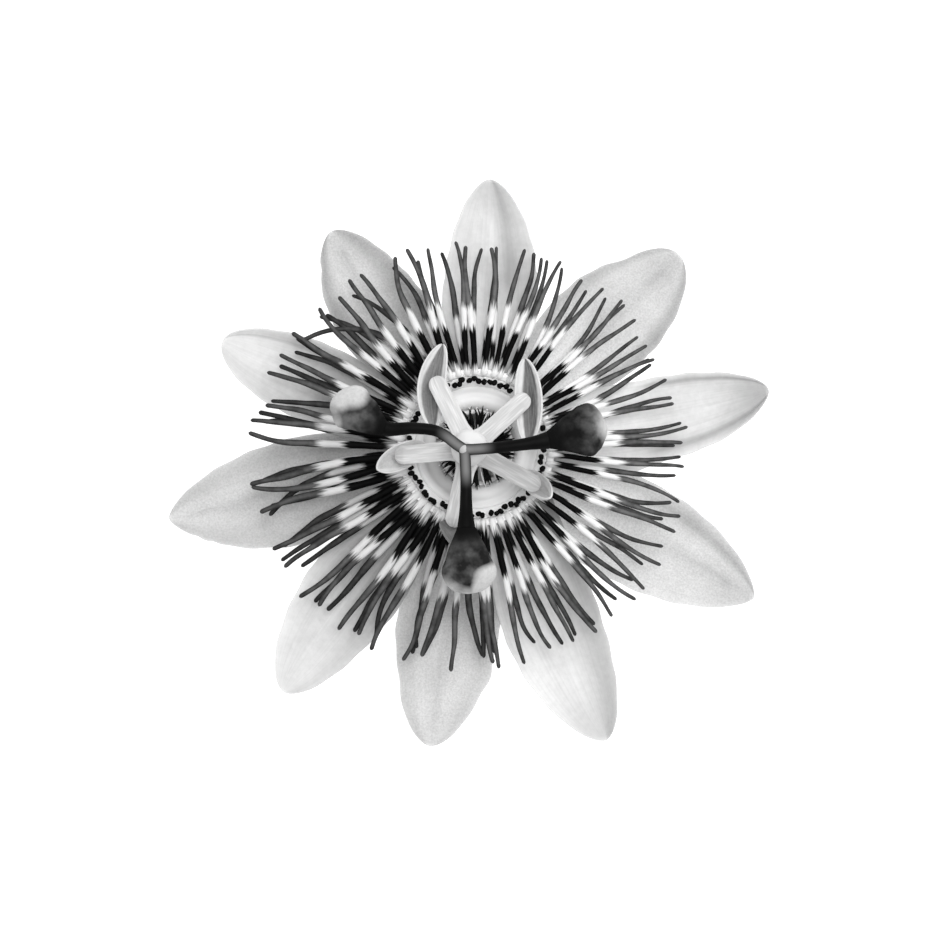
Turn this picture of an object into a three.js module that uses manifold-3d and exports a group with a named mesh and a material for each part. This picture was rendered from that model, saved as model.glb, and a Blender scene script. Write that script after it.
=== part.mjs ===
// Passion flower, picked at the joint above its bracts and resting on the flat spot under its cup.
// Millimetres, +Z up, the open flower faces up. Origin: the middle of the flat spot.
// Angles are degrees counter-clockwise from +X, seen from above.

import * as THREE from 'three';
import { mergeVertices } from 'three/addons/utils/BufferGeometryUtils.js';
import Module from 'manifold-3d';

const wasm = await Module();
wasm.setup();

// Driving dimensions of the cup
const restRadius = 4.5;
const cupHeight = 6.7;
const cupRadius = 11.0;
const mouthRadius = 8.85;
const cupFloor = 1.8;
const roundSides = 32;
const seat = 0.2;

// Driving dimensions of the tepals: sepals are the lower whorl, petals the upper one
const tepalRoot = cupRadius + 0.3;
const bladeThickness = 0.7;
const tepalSteps = 10;
const tepalAcross = 6;
const sepalForm = { rootHeight: 4.65, sag: 0.55, rootHalfWidth: 4.4, keel: 0.45 };
const petalForm = { rootHeight: 5.95, sag: 0.1, rootHalfWidth: 3.1, keel: 0 };
const tipFlat = 0.05;
const rowCrowding = 1.35;
const rippleHeight = 0.3;
const rippleTurns = 2.2;
const hornLength = 2.4;
const hornRadius = 0.45;

// One row for each tepal, clockwise from the top one. root and tip are the angles of its two ends,
// reach is how far the tip is from the middle, taper runs from the tip back to the widest place,
// blunt shapes the tip, bow bends it to its left, rise lifts the tip, cup lifts its left and right
// edges.
const tepals = [
  { form: petalForm, root: 83.5, tip: 87, reach: 37.6, half: 7.3, taper: 17.5, blunt: 0.68,
    bow: -0.6, rise: 1.2, cup: [0.6, 0.8] },
  { form: sepalForm, root: 47.5, tip: 43.3, reach: 39.3, half: 7.45, taper: 15.5, blunt: 0.55,
    bow: -0.3, rise: 1.6, cup: [0.5, 0.7] },
  { form: petalForm, root: 11.5, tip: 11.6, reach: 41.6, half: 6.2, taper: 16.5, blunt: 0.7,
    bow: -1.0, rise: 2.4, cup: [2.4, 1.9] },
  { form: sepalForm, root: -24.5, tip: -28.4, reach: 44.2, half: 7.6, taper: 19, blunt: 0.7,
    bow: 0.1, rise: 2.4, cup: [0.6, 0.9] },
  { form: petalForm, root: -60.5, tip: -66.1, reach: 44.8, half: 7.2, taper: 19, blunt: 0.62,
    bow: -1.0, rise: 1.5, cup: [0.9, 0.7] },
  { form: sepalForm, root: -96.5, tip: -98.8, reach: 42.3, half: 7.3, taper: 17.5, blunt: 0.6,
    bow: -0.3, rise: 2.0, cup: [0.7, 1.0] },
  { form: petalForm, root: -132.5, tip: -128.3, reach: 43, half: 6.8, taper: 18, blunt: 0.57,
    bow: -0.7, rise: 1.3, cup: [1.2, 0.7] },
  { form: sepalForm, root: -168.5, tip: -167, reach: 44.1, half: 7.5, taper: 19, blunt: 0.7,
    bow: 0.5, rise: 2.2, cup: [0.8, 0.5] },
  { form: petalForm, root: 155.5, tip: 157.8, reach: 38.4, half: 6.5, taper: 14, blunt: 0.62,
    bow: 0.7, rise: 1.8, cup: [0.7, 2.0] },
  { form: sepalForm, root: 119.5, tip: 124, reach: 36.4, half: 7.2, taper: 15.5, blunt: 0.56,
    bow: 1.1, rise: 1.6, cup: [1.2, 0.8] },
];

// Driving dimensions of the corona: two rows of filaments, each on a ring that sits on the rim.
// reach is the mean distance of the tips, and swing makes it longer towards longSide. A filament is
// stouter towards stoutSide. Sweep turns aside the few filaments near sweepAngle, clumpLean leans
// neighbours together, and hookTurn bends some tips over.
const longSide = 235;
const stoutSide = 220;
const stoutness = 0.14;
const filamentRoot = 10.6;
const filamentGirth = 0.44;
const sweepAngle = 122;
const sweepSpread = 8;
const clumpLean = 1.3;
const clumpTurns = 0.31;
const hookTurn = 5;
const lowerRow = { count: 56, seed: 3, offset: 0.5, height: 7.35, reach: 27.4, swing: 1.2, ragged: 1.4,
  sway: 5.5, sweep: 20, rise: 0.5, curl: 1.0, lift: 0.15, sides: 3, steps: 4,
  ring: [[10.15, 6.9], [11, 6.9], [11, 7.75], [10.15, 7.75], [10.15, 6.9]] };
const upperRow = { count: 56, seed: 7, offset: 0, height: 8.6, reach: 30.4, swing: 1.7, ragged: 0.8,
  sway: 3.4, sweep: 0, rise: 0.9, curl: 1.6, lift: 0.25, sides: 4, steps: 4,
  ring: [[10, 8], [11, 8], [11, 8.95], [10.7, 9.1], [10.2, 8.75], [10, 8.3], [10, 8]] };

// Driving dimensions of the short filaments with round heads, on a collar inside the corona
const beadCount = 72;
const beadRadius = 0.36;
const beadCircle = 9.4;
const beadScatter = 0.22;
const beadTop = 9.5;
const stalkRadius = 0.13;
const collarInner = 8.7;
const collarOuter = 9.9;
const collarHeight = 1.15;

// Driving dimensions of the membrane and its fringe
const membraneOuter = 8.6;
const membraneInner = 5.45;
const fringeCount = 44;
const fringeOuter = 5.3;
const fringeInner = 2.2;

// Driving dimensions of the column, the stamens and the pistil
const lean = new THREE.Vector3(-0.84, -0.25, 13);
const columnFoot = cupFloor + seat;
const columnTop = 15.7;
const strapThickness = 0.7;
const strapHeight = 15.1;
const strapArch = 0.45;
const strapDip = 0.65;
const strapStart = 0.4;
const strapHalf = 1.35;
const strapEndHalf = 0.95;
const strapChannel = 0.14;
const ovaryRadius = 2.4;
const ovaryLow = 15.95;
const ovaryRise = 6;
const ovaryFoot = new THREE.Vector2(-0.9, -0.27);
const ovaryBow = new THREE.Vector2(0.25, 0.8);
const knobPlace = new THREE.Vector2(-1.59, -0.37);
const knobRadius = 0.76;
const knobTop = 22.8;
const styleRadius = 0.76;
const stigmaNeck = 0.33;
const stigmaWidest = 0.6;
const stigmaFlat = 0.78;
const stigmaGap = 0.02;

// One row for each stamen: the angle and length of its filament, the direction of the anther's long
// axis, how far that end is raised, its roll, how far it bends to its left, its size, and where on the
// anther the filament ends, along its long axis and to its left.
const stamens = [
  { angle: 116.6, length: 10.7, heading: 84, pitch: 0, roll: -2,
    bow: 0.9, size: 1, along: 0.9, aside: -0.2 },
  { angle: 42.5, length: 10.9, heading: 92, pitch: 0, roll: 3,
    bow: -0.3, size: 1, along: 0.8, aside: 0 },
  { angle: 185.3, length: 10.4, heading: 208, pitch: 48, roll: 0,
    bow: 0, size: 0.92, along: 1.2, aside: 0 },
  { angle: -28.8, length: 11, heading: -44, pitch: 60, roll: 0,
    bow: 0, size: 0.82, along: 1.3, aside: 0 },
  { angle: -102.5, length: 11, heading: -60, pitch: 12, roll: -36,
    bow: 0, size: 0.86, along: -3.4, aside: 0.7 },
];
const antherClearance = 0.82;
const antherLength = 11.8;
const antherWidth = 4.3;
const antherDepth = 1.3;
const antherWall = 0.6;
const antherEnd = 0.5;
const antherEndDepth = 0.3;

// One row for each style: points along its middle, then along the middle of its stigma, and the
// stigma's half width.
const styles = [
  { points: [[-2.5, 0.2, 21.9], [-5.2, 2.05, 22.8], [-8.6, 2.5, 22.9], [-12.3, 2.5, 22.4]],
    head: [[-15.95, 4.95, 21.9], [-19.3, 6.7, 21.7]], girth: 3.44 },
  { points: [[-0.3, -0.35, 21.9], [3.0, -0.1, 22.8], [6.6, 0.35, 22.9], [9.7, 0.9, 22.4]],
    head: [[14.4, 2.15, 21.9], [17.5, 2.55, 21.7]], girth: 3.64 },
  { points: [[-1.5, -1.6, 21.9], [-1.38, -4.6, 22.8], [-1.38, -7.8, 22.9], [-1.35, -10.8, 22.4]],
    head: [[-1.1, -16.1, 21.9], [-1.0, -20.1, 21.7]], girth: 3.7 },
];

// Surface colours, in the greys of the photograph
const finishes = {
  cup: { color: 0x8d8d8b, roughness: 0.65, metalness: 0 },
  sepal: { color: 0xd2d2cf, roughness: 0.7, metalness: 0 },
  petal: { color: 0xdcdcda, roughness: 0.6, metalness: 0 },
  filament: { color: 0x3a3a3a, roughness: 0.55, metalness: 0 },
  bead: { color: 0x0d0d0d, roughness: 0.4, metalness: 0 },
  membrane: { color: 0xe4e4e2, roughness: 0.5, metalness: 0 },
  fringe: { color: 0x181818, roughness: 0.5, metalness: 0 },
  stamen: { color: 0xcdcdcb, roughness: 0.5, metalness: 0 },
  anther: { color: 0xb4b4b1, roughness: 0.75, metalness: 0 },
  ovary: { color: 0xe6e6e4, roughness: 0.4, metalness: 0 },
  style: { color: 0x242424, roughness: 0.45, metalness: 0 },
  stigma: { color: 0x5a5a58, roughness: 0.7, metalness: 0 },
};

const radians = THREE.MathUtils.degToRad;
const smooth = (x, low, high) => THREE.MathUtils.smoothstep(x, low, high);
const mix = (a, b, t) => THREE.MathUtils.lerp(a, b, t);

// The same number from 0 to 1 each time for a given piece and seed.
function draw(index, seed) {
  const wave = Math.sin(index * 12.9898 + seed * 78.233) * 43758.5453;
  return wave - Math.floor(wave);
}

// Shared corners merged, triangles that vanish at a pole dropped, faces turned outwards.
function closed(geometry) {
  const bare = geometry.clone();
  bare.deleteAttribute('normal');
  bare.deleteAttribute('uv');
  const merged = mergeVertices(bare, 1e-4);
  const corner = (i) => new THREE.Vector3().fromBufferAttribute(merged.attributes.position, i);
  const kept = [];
  let volume = 0;
  for (let i = 0; i < merged.index.count; i += 3) {
    const [a, b, c] = [0, 1, 2].map((step) => merged.index.getX(i + step));
    if (a === b || b === c || c === a) continue;
    kept.push([a, b, c]);
    volume += corner(a).dot(corner(b).cross(corner(c)));
  }
  merged.setIndex(kept.flatMap(([a, b, c]) => (volume > 0 ? [a, b, c] : [a, c, b])));
  return merged;
}

function solidOf(geometry) {
  const shape = closed(geometry);
  const vertProperties = new Float32Array(shape.attributes.position.array);
  const triVerts = new Uint32Array(shape.index.array);
  return new wasm.Manifold(new wasm.Mesh({ numProp: 3, vertProperties, triVerts }));
}

function geometryOf(solid) {
  const mesh = solid.asOriginal().simplify(0.01).getMesh();
  const geometry = new THREE.BufferGeometry();
  geometry.setAttribute('position', new THREE.BufferAttribute(mesh.vertProperties, 3));
  geometry.setIndex(new THREE.BufferAttribute(mesh.triVerts, 1));
  return geometry;
}

// Repeats grown together with the piece that carries them.
function fused(carrier, repeats) {
  return geometryOf(repeats.map(solidOf).reduce((whole, part) => whole.add(part), solidOf(carrier)));
}

function turned(profile, sides = roundSides) {
  const lathe = new THREE.LatheGeometry(profile.map(([r, z]) => new THREE.Vector2(r, z)), sides);
  return lathe.rotateX(Math.PI / 2);
}

// A thin blade. surface(u, v) gives its middle, u from 0 at the root to 1 at the tip and v from -1
// to 1 across. Both faces lie half the thickness off it, split into triangles alike. keel(u, v)
// thickens the under face.
function blade(surface, thickness, along, across, keel = () => 0) {
  const sheet = new THREE.PlaneGeometry(2, 1, across, along);
  const { position } = sheet.attributes;
  const faces = [[], []];
  for (let i = 0; i < position.count; i += 1) {
    const u = 0.5 - position.getY(i);
    const v = position.getX(i);
    const small = 1e-3;
    const forward = surface(u + small, v).sub(surface(u - small, v));
    const sideways = surface(u, v + small).sub(surface(u, v - small));
    const normal = forward.cross(sideways).normalize();
    const middle = surface(u, v);
    faces[0].push(middle.clone().addScaledVector(normal, thickness / 2));
    faces[1].push(middle.addScaledVector(normal, -thickness / 2 - keel(u, v)));
  }
  const triangles = [];
  const count = position.count;
  const row = across + 1;
  for (let i = 0; i < sheet.index.count; i += 3) {
    const [a, b, c] = [0, 1, 2].map((step) => sheet.index.getX(i + step));
    triangles.push(a, b, c, a + count, c + count, b + count);
  }
  const border = [];
  for (let i = 0; i < across; i += 1) border.push(i);
  for (let i = 0; i < along; i += 1) border.push(i * row + across);
  for (let i = across; i > 0; i -= 1) border.push(along * row + i);
  for (let i = along; i > 0; i -= 1) border.push(i * row);
  border.forEach((here, i) => {
    const next = border[(i + 1) % border.length];
    triangles.push(here, next, next + count, here, next + count, here + count);
  });
  const geometry = new THREE.BufferGeometry().setFromPoints(faces.flat());
  return closed(geometry.setIndex(triangles));
}

// A rod bent along route(t), t from 0 to 1, with radius(t) to its sides and flat times that upwards.
function rod(route, radius, sides, steps, flat = 1) {
  const cylinder = new THREE.CylinderGeometry(1, 1, 1, sides, steps);
  const { position } = cylinder.attributes;
  const up = new THREE.Vector3(0, 0, 1);
  for (let i = 0; i < position.count; i += 1) {
    const t = position.getY(i) + 0.5;
    const ahead = route(Math.min(t + 0.01, 1)).sub(route(Math.max(t - 0.01, 0))).normalize();
    const side = new THREE.Vector3().crossVectors(ahead, up).normalize();
    const over = new THREE.Vector3().crossVectors(side, ahead);
    const place = route(t);
    place.addScaledVector(side, position.getX(i) * radius(t));
    place.addScaledVector(over, position.getZ(i) * radius(t) * flat);
    position.setXYZ(i, place.x, place.y, place.z);
  }
  return cylinder;
}

const flower = new THREE.Group();

function addPiece(name, geometry, finish) {
  const mesh = new THREE.Mesh(closed(geometry), new THREE.MeshStandardMaterial(finishes[finish]));
  mesh.name = name;
  flower.add(mesh);
  return mesh;
}

// The cup, open at the top, with a flat spot below and a flat rim that carries the corona
function makeReceptacle() {
  const profile = [
    [0, 0], [restRadius, 0], [6.4, 0.7], [8.8, 2.3], [10.5, 3.8], [cupRadius, 4.4],
    [cupRadius, cupHeight], [mouthRadius, cupHeight], [mouthRadius - 0.2, 3.9],
    [7.4, 2.3], [6.0, cupFloor], [0, cupFloor],
  ];
  addPiece('receptacle', turned(profile), 'cup');
}

// The middle surface of a tepal. Its mid line is a parabola in plan from the root to the tip, its
// half width is a rounded taper, and its height sags, then rises. The cup lifts the edges with the
// square of the distance from the mid line, and a slow ripple runs along each edge. Rows lie closer
// together towards the tip.
function tepalSurface(tepal, index) {
  const polar = (radius, angle) => new THREE.Vector2(
    radius * Math.cos(radians(angle)),
    radius * Math.sin(radians(angle)),
  );
  const root = polar(tepalRoot, tepal.root);
  const tip = polar(tepal.reach, tepal.tip);
  const chord = tip.clone().sub(root);
  const length = chord.length();
  const left = new THREE.Vector2(-chord.y, chord.x).divideScalar(length);
  const widest = 1 - tepal.taper / length;
  return (step, v) => {
    const u = step < 1 ? 1 - Math.abs(1 - step) ** rowCrowding : step;
    const past = Math.max(0, (u - widest) / (1 - widest));
    const taper = Math.max(tipFlat, 1 - (1 - tipFlat) * past * past) ** tepal.blunt;
    const spread = mix(tepal.form.rootHalfWidth, tepal.half, smooth(u, -0.15, widest));
    const half = spread * taper;
    const bend = tepal.bow * 4 * u * (1 - u);
    const place = root.clone().addScaledVector(chord, u).addScaledVector(left, bend + v * half);
    const side = v > 0 ? 0 : 1;
    const edge = (v * taper) ** 2;
    const ripple = rippleHeight * Math.sin(2 * Math.PI * (rippleTurns * u + draw(index, 31 + side)));
    const height = tepal.form.rootHeight - tepal.form.sag * Math.sin(Math.PI * Math.min(u * 1.4, 1))
      + tepal.rise * smooth(u, 0.35, 1.3) * 1.6
      + (tepal.cup[side] * smooth(u, 0.4, 0.85) + ripple * smooth(u, 0.35, 0.7)) * edge;
    return new THREE.Vector3(place.x, place.y, height);
  };
}

// A sepal's back has a keel along the middle that ends in a small horn just short of the tip.
function makeTepal(tepal, index, name) {
  const isSepal = tepal.form === sepalForm;
  const surface = tepalSurface(tepal, index);
  const keel = (u, v) => tepal.form.keel * Math.max(0, 1 - Math.abs(v) * 3) * (1 - smooth(u, 0.8, 1.02));
  const sheet = blade(surface, bladeThickness, tepalSteps, tepalAcross, keel);
  if (!isSepal) {
    addPiece(name, sheet, 'petal');
    return;
  }
  const start = surface(0.82, 0).add(new THREE.Vector3(0, 0, -0.45));
  const outward = surface(1, 0).sub(surface(0.82, 0)).setZ(0).normalize();
  const end = start.clone().addScaledVector(outward, hornLength * 0.75);
  end.z -= hornLength * 0.6;
  const horn = rod((t) => start.clone().lerp(end, t), (t) => hornRadius * (1 - 0.75 * t), 5, 1);
  addPiece(name, fused(sheet, [horn]), 'sepal');
}

// Filaments spread from the ring, swaying to one side and rising towards their tips. Neighbours
// lean together here and there, so the row is as uneven as a real one.
function filamentRoute(row, index) {
  const step = 360 / row.count;
  const signed = (seed) => 2 * draw(index, row.seed + seed) - 1;
  const start = (index + row.offset + 0.16 * signed(0)) * step;
  const reach = row.reach + row.swing * Math.cos(radians(start - longSide)) + row.ragged * signed(1);
  const swept = row.sweep * Math.exp(-(((start - sweepAngle) / sweepSpread) ** 2));
  const sway = row.sway * signed(2) * Math.abs(signed(2)) + swept;
  const clump = clumpLean * Math.sin(2 * Math.PI * (clumpTurns * index + draw(1, row.seed)));
  const hook = hookTurn * signed(5) * Math.max(0, signed(6));
  const bend = 1.3 * signed(3);
  const lift = row.lift * signed(4);
  return (t) => {
    const radius = mix(filamentRoot, reach, t);
    const turn = clump * t + sway * t * t + hook * t ** 6 + bend * Math.sin(2 * Math.PI * t) * t;
    const angle = radians(start + turn);
    const height = row.height + (row.rise + lift) * t + row.curl * t * t;
    return new THREE.Vector3(radius * Math.cos(angle), radius * Math.sin(angle), height);
  };
}

// A filament swells from its root and narrows past its middle.
function filamentRadius(row, index) {
  const start = (index + row.offset) * 360 / row.count;
  const girth = filamentGirth * (1 + stoutness * Math.cos(radians(start - stoutSide)));
  return (t) => girth * (0.62 + 0.38 * smooth(t, 0, 0.35)) * (1 - 0.52 * smooth(t, 0.45, 0.95));
}

function makeCoronaRow(row, name) {
  const filaments = [];
  for (let i = 0; i < row.count; i += 1) {
    filaments.push(rod(filamentRoute(row, i), filamentRadius(row, i), row.sides, row.steps));
  }
  addPiece(name, fused(turned(row.ring), filaments), 'filament');
}

// Short filaments with round heads, in loose clumps on a collar that slopes down to the membrane
function makeBeadRing() {
  const low = cupHeight + seat;
  const foot = low + 0.45;
  const collar = turned([
    [collarInner, low], [collarOuter, low], [collarOuter, low + collarHeight],
    [beadCircle - 0.2, low + 0.65], [collarInner, low + 0.4], [collarInner, low],
  ]);
  const beads = [];
  for (let i = 0; i < beadCount; i += 1) {
    const angle = radians((i + 0.7 * draw(i, 11)) * 360 / beadCount);
    const radius = beadCircle + beadScatter * (2 * draw(i, 12) - 1);
    const top = beadTop + 0.25 * (2 * draw(i, 13) - 1);
    const bead = turned([[0, foot], [stalkRadius, foot], [beadRadius, top], [0, top + beadRadius]], 4);
    bead.rotateZ(angle);
    beads.push(bead.translate(radius * Math.cos(angle), radius * Math.sin(angle), 0));
  }
  addPiece('bead_ring', fused(collar, beads), 'bead');
}

// The membrane slopes in from the rim, with a ridge and then a broad swell
function makeOperculum() {
  const profile = [
    [membraneOuter, 6.2], [membraneOuter, 6.9], [8.15, 7.3], [7.6, 7.1], [7.0, 7.45],
    [6.3, 7.4], [5.75, 7.0], [membraneInner, 6.4], [membraneInner, 5.9],
    [6.2, 6.4], [7.6, 6.4], [membraneOuter, 6.2],
  ];
  addPiece('operculum', turned(profile), 'membrane');
}

// Dark hairs that run in from the membrane's edge and dip towards the column
function makeFringe() {
  const band = turned([
    [fringeOuter - 0.5, 5.9], [fringeOuter, 5.9], [fringeOuter, 6.5],
    [fringeOuter - 0.5, 6.5], [fringeOuter - 0.5, 5.9],
  ], 24);
  const hairs = [];
  for (let i = 0; i < fringeCount; i += 1) {
    const start = radians((i + 0.3 * draw(i, 21)) * 360 / fringeCount);
    const sway = radians(8 * (2 * draw(i, 22) - 1));
    const inner = fringeInner + 0.9 * draw(i, 23);
    const arch = 0.9 + 0.4 * draw(i, 24);
    const route = (t) => {
      const radius = mix(fringeOuter - 0.25, inner, t);
      const angle = start + sway * t;
      const height = 6.2 + arch * Math.sin(0.75 * Math.PI * t);
      return new THREE.Vector3(radius * Math.cos(angle), radius * Math.sin(angle), height);
    };
    hairs.push(rod(route, (t) => 0.19 - 0.09 * t, 3, 2));
  }
  addPiece('nectary_fringe', fused(band, hairs), 'fringe');
}

// How far the leaning column has moved sideways at a height
function leanAt(height) {
  const share = (height - columnFoot) / lean.z;
  return new THREE.Vector2(lean.x * share, lean.y * share);
}

// How far the egg's middle lies from the origin at a height: it bows to one side under its knob
function ovaryAt(height) {
  const share = (height - ovaryLow) / ovaryRise;
  const bow = Math.sin(Math.PI * THREE.MathUtils.clamp(share, 0, 1));
  return ovaryFoot.clone().lerp(knobPlace, share).addScaledVector(ovaryBow, bow);
}

function shifted(geometry, shiftAt) {
  const { position } = geometry.attributes;
  for (let i = 0; i < position.count; i += 1) {
    const shift = shiftAt(position.getZ(i));
    position.setX(i, position.getX(i) + shift.x);
    position.setY(i, position.getY(i) + shift.y);
  }
  return geometry;
}

// A stamen filament is a flat strap with a shallow channel. It arches out, then dips into its anther.
function strapSurface(stamen) {
  const base = leanAt(strapHeight);
  const ahead = new THREE.Vector2(Math.cos(radians(stamen.angle)), Math.sin(radians(stamen.angle)));
  const left = new THREE.Vector2(-ahead.y, ahead.x);
  return (u, v) => {
    const half = mix(strapHalf, strapEndHalf, 0.25 * u + 0.75 * smooth(u, 0.88, 1));
    const place = base.clone().addScaledVector(ahead, mix(strapStart, stamen.length, u));
    place.addScaledVector(left, v * half);
    const arch = strapArch * Math.sin(Math.PI * u) - strapDip * smooth(u, 0.86, 1.02);
    return new THREE.Vector3(place.x, place.y, strapHeight + arch + strapChannel * v * v);
  };
}

function makeAndrogynophore() {
  const column = shifted(turned([
    [0, columnFoot], [2.5, columnFoot], [2.55, 3.4], [1.9, 4.2], [1.3, 5.2], [1.15, 7.5],
    [1.15, 12.0], [1.45, 14.0], [1.95, 14.9], [1.95, 15.5], [0, columnTop],
  ], 16), leanAt);
  const straps = stamens.map((stamen) => blade(strapSurface(stamen), strapThickness, 8, 2));
  addPiece('androgynophore', fused(column, straps), 'stamen');
}

// An anther is an open boat with blunt ends, shallow at the ends and deepest in the middle. Its
// floor lies just under the end of its filament.
function makeAnther(stamen, name) {
  const rimAngle = radians(78);
  const surface = (u, v) => {
    const s = 2 * u - 1;
    const belly = Math.max(0, 1 - s * s);
    const half = mix(antherEnd, (antherWidth - antherWall) / 2, belly ** 0.75);
    const depth = mix(antherEndDepth, antherDepth, belly);
    const across = half * Math.sin(v * rimAngle) / Math.sin(rimAngle);
    const drop = depth * (Math.cos(v * rimAngle) - Math.cos(rimAngle)) / (1 - Math.cos(rimAngle));
    return new THREE.Vector3(antherLength / 2 * s, across + stamen.bow * belly, -drop);
  };
  const mesh = addPiece(name, blade(surface, antherWall, 7, 4), 'anther');
  mesh.scale.setScalar(stamen.size);
  mesh.rotation.set(radians(stamen.roll), radians(-stamen.pitch), radians(stamen.heading), 'ZYX');
  const seatPoint = new THREE.Vector3(
    stamen.along,
    stamen.bow + stamen.aside,
    stamen.size * (antherWall / 2 - antherDepth) + antherClearance,
  ).applyEuler(mesh.rotation);
  const strapEnd = strapSurface(stamen)(1, 0).add(new THREE.Vector3(0, 0, -strapThickness / 2));
  mesh.position.copy(strapEnd.sub(seatPoint));
}

// The egg on top of the column, with the knob where the styles meet
function makeOvary() {
  const ovary = shifted(turned([
    [0, ovaryLow], [1.2, 16.05], [2.0, 16.9], [ovaryRadius, 18.2], [2.2, 19.4], [1.55, 20.4],
    [0.9, 21.0], [knobRadius, 21.5], [knobRadius, 22.2], [0.5, 22.65], [0, knobTop],
  ], 14), ovaryAt);
  addPiece('ovary', ovary, 'ovary');
}

// A style and its stigma lie along one curve. The stigma flares from a neck as wide as the style's
// end, is widest past its middle and rounds off at its tip.
function makeStyle(style, index) {
  const line = [...style.points, ...style.head].map((point) => new THREE.Vector3(...point));
  const curve = new THREE.CatmullRomCurve3(line, false, 'catmullrom', 0.5);
  const joint = (style.points.length - 1) / (line.length - 1);
  const radius = (t) => mix(styleRadius, stigmaNeck * style.girth, t ** 5);
  addPiece(`style_${index + 1}`, rod((t) => curve.getPoint(joint * t), radius, 8, 9), 'style');
  const along = (t) => mix(stigmaGap, 1, 1 - (1 - t) ** rowCrowding);
  const girth = (t) => {
    const swell = mix(stigmaNeck, 1, smooth(along(t), 0, stigmaWidest));
    const past = Math.max(0, (along(t) - stigmaWidest) / (1 - stigmaWidest));
    return style.girth * swell * Math.sqrt(Math.max(0, 1 - past * past));
  };
  const head = rod((t) => curve.getPoint(mix(joint, 1, along(t))), girth, 12, 10, stigmaFlat);
  addPiece(`stigma_${index + 1}`, head, 'stigma');
}

makeReceptacle();
const counts = { sepal: 0, petal: 0 };
tepals.forEach((tepal, index) => {
  const kind = tepal.form === sepalForm ? 'sepal' : 'petal';
  counts[kind] += 1;
  makeTepal(tepal, index, `${kind}_${counts[kind]}`);
});
makeCoronaRow(lowerRow, 'corona_lower');
makeCoronaRow(upperRow, 'corona_upper');
makeBeadRing();
makeOperculum();
makeFringe();
makeAndrogynophore();
stamens.forEach((stamen, index) => makeAnther(stamen, `anther_${index + 1}`));
makeOvary();
styles.forEach(makeStyle);

export default flower;
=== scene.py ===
import bmesh
import bpy
import numpy as np
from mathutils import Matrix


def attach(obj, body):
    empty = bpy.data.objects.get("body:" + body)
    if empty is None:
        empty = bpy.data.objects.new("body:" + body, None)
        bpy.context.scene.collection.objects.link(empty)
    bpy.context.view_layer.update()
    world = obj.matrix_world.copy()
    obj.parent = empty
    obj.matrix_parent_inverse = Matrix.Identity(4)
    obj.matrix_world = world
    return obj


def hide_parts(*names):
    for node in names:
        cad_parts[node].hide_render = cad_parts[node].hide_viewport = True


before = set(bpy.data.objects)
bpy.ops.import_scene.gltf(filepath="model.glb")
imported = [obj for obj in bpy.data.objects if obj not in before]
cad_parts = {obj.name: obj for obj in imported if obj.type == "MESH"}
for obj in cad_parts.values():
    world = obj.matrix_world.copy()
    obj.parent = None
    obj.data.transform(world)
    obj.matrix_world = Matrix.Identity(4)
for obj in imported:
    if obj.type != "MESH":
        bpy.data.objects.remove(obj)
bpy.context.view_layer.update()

# The cup
# A firm cup under the flower carries every other piece. It is matte and finely ribbed outside, pale and
# smooth inside, and below it is the flat corky scar where the stalk came off.
MM = 0.001
WELD = 4e-7
CORNER_CUTS = 3
CUP = [(0, 0.12), (2.2, 0.1), (2.7, 0), (4.5, 0), (6.4, 0.7), (8.8, 2.3), (10.5, 3.8), (11, 4.5),
       (11, 6.65), (10.9, 6.72), (8.95, 6.72), (8.85, 6.6), (8.65, 3.9), (7.4, 2.3), (6, 1.8), (0, 1.8)]
CUP_RIBS = 20
RIB_DEPTH = 0.006


def smooth(x, low, high):
    """0 below low, 1 above high, and 3t² - 2t³ between them."""
    t = np.clip((x - low) / (high - low), 0, 1)
    return t * t * (3 - 2 * t)


def around(radius, angle, height):
    """Points from a radius, an angle in radians and a height: (r cos a, r sin a, z)."""
    return np.stack(np.broadcast_arrays(radius * np.cos(angle), radius * np.sin(angle), height), -1)


def bearing(points):
    """The angle of each point about the Z axis, in radians."""
    return np.arctan2(points[..., 1], points[..., 0])


def surface_uv(along, across):
    """The UV of one grid: how far along and how far across it each point is."""
    return np.stack(np.broadcast_arrays(along, across), -1)[None]


def rounded(points, closed=False):
    """Cuts each corner of a line at a quarter and three quarters of its sides, again and again."""
    line = np.array(points, float)
    for _ in range(CORNER_CUTS):
        start = line if closed else line[:-1]
        end = np.roll(line, -1, 0) if closed else line[1:]
        cut = np.stack([0.75 * start + 0.25 * end, 0.25 * start + 0.75 * end], 1)
        cut = cut.reshape(-1, line.shape[1])
        line = cut if closed else np.vstack([line[:1], cut, line[-1:]])
    return np.vstack([line, line[:1]]) if closed else line


def turned(profile, sides):
    """A profile of radius and height carried round the Z axis."""
    turn = np.linspace(0, 2 * np.pi, sides + 1)[None, :]
    along = np.linspace(0, 1, len(profile))[:, None]
    return around(profile[:, :1], turn, profile[:, 1:2])[None], surface_uv(along, turn / (2 * np.pi))


def placed(name, data):
    """A new object in the scene."""
    made = bpy.data.objects.new(name, data)
    bpy.context.scene.collection.objects.link(made)
    return made


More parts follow.
